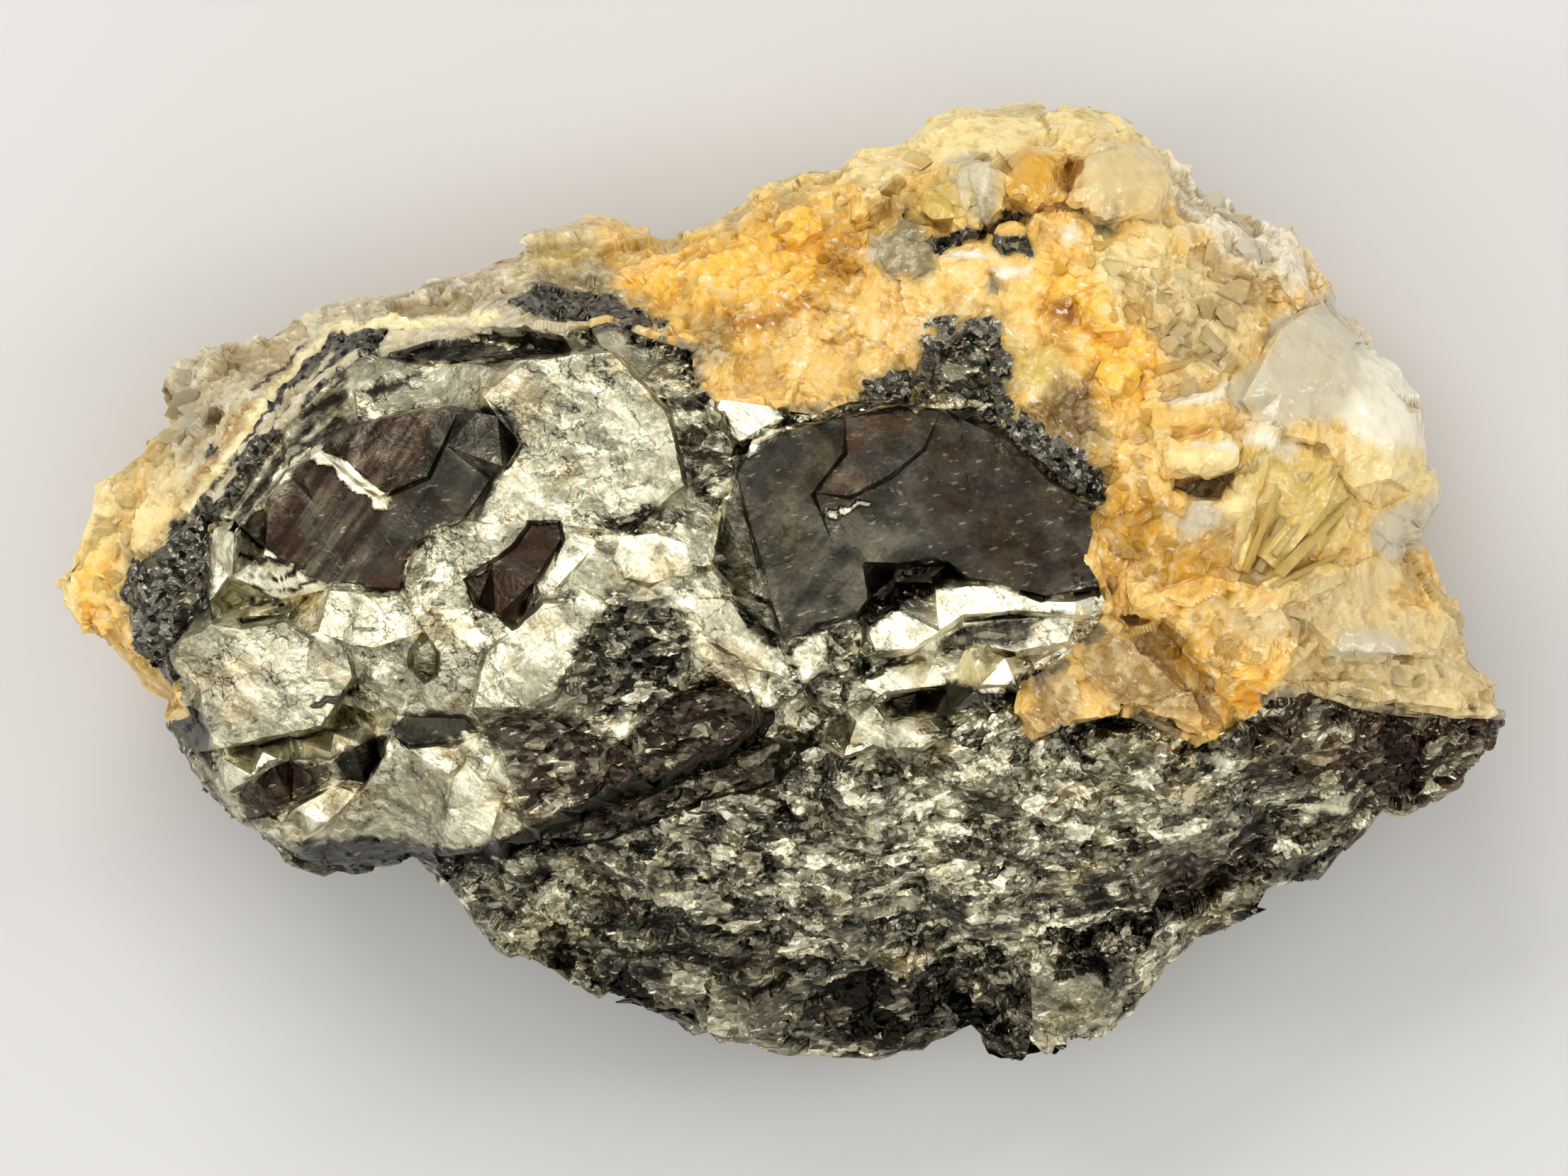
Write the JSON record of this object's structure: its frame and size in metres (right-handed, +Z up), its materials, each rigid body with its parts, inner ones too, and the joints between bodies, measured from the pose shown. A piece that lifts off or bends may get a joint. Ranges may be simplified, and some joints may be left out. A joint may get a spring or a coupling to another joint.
{
  "type": "pyrite with quartz specimen",
  "caption": "Broken hand specimen of massive pyrite with dark crystal faces and bright ledges, grown together with iron-stained quartz; it lies on a flat broken underside.",
  "frame": {"origin": "under the middle of the stone's bounding box, on the plane that it rests on", "axes": "+X along the stone's length to the right of its best side, +Y towards the quartz edge, +Z up out of the best side"},
  "size_m": [0.0719, 0.0487, 0.0286],
  "materials": {
    "pyrite": "broken metallic mineral: bright cream-silver fracture with dark brown and olive crystal faces",
    "quartz": "milky, granular quartz stained orange and yellow by iron, with a few clearer grey faces"
  },
  "bodies": {
    "root": {"pyrite": "pyrite", "quartz": "quartz"}
  },
  "joints": []
}
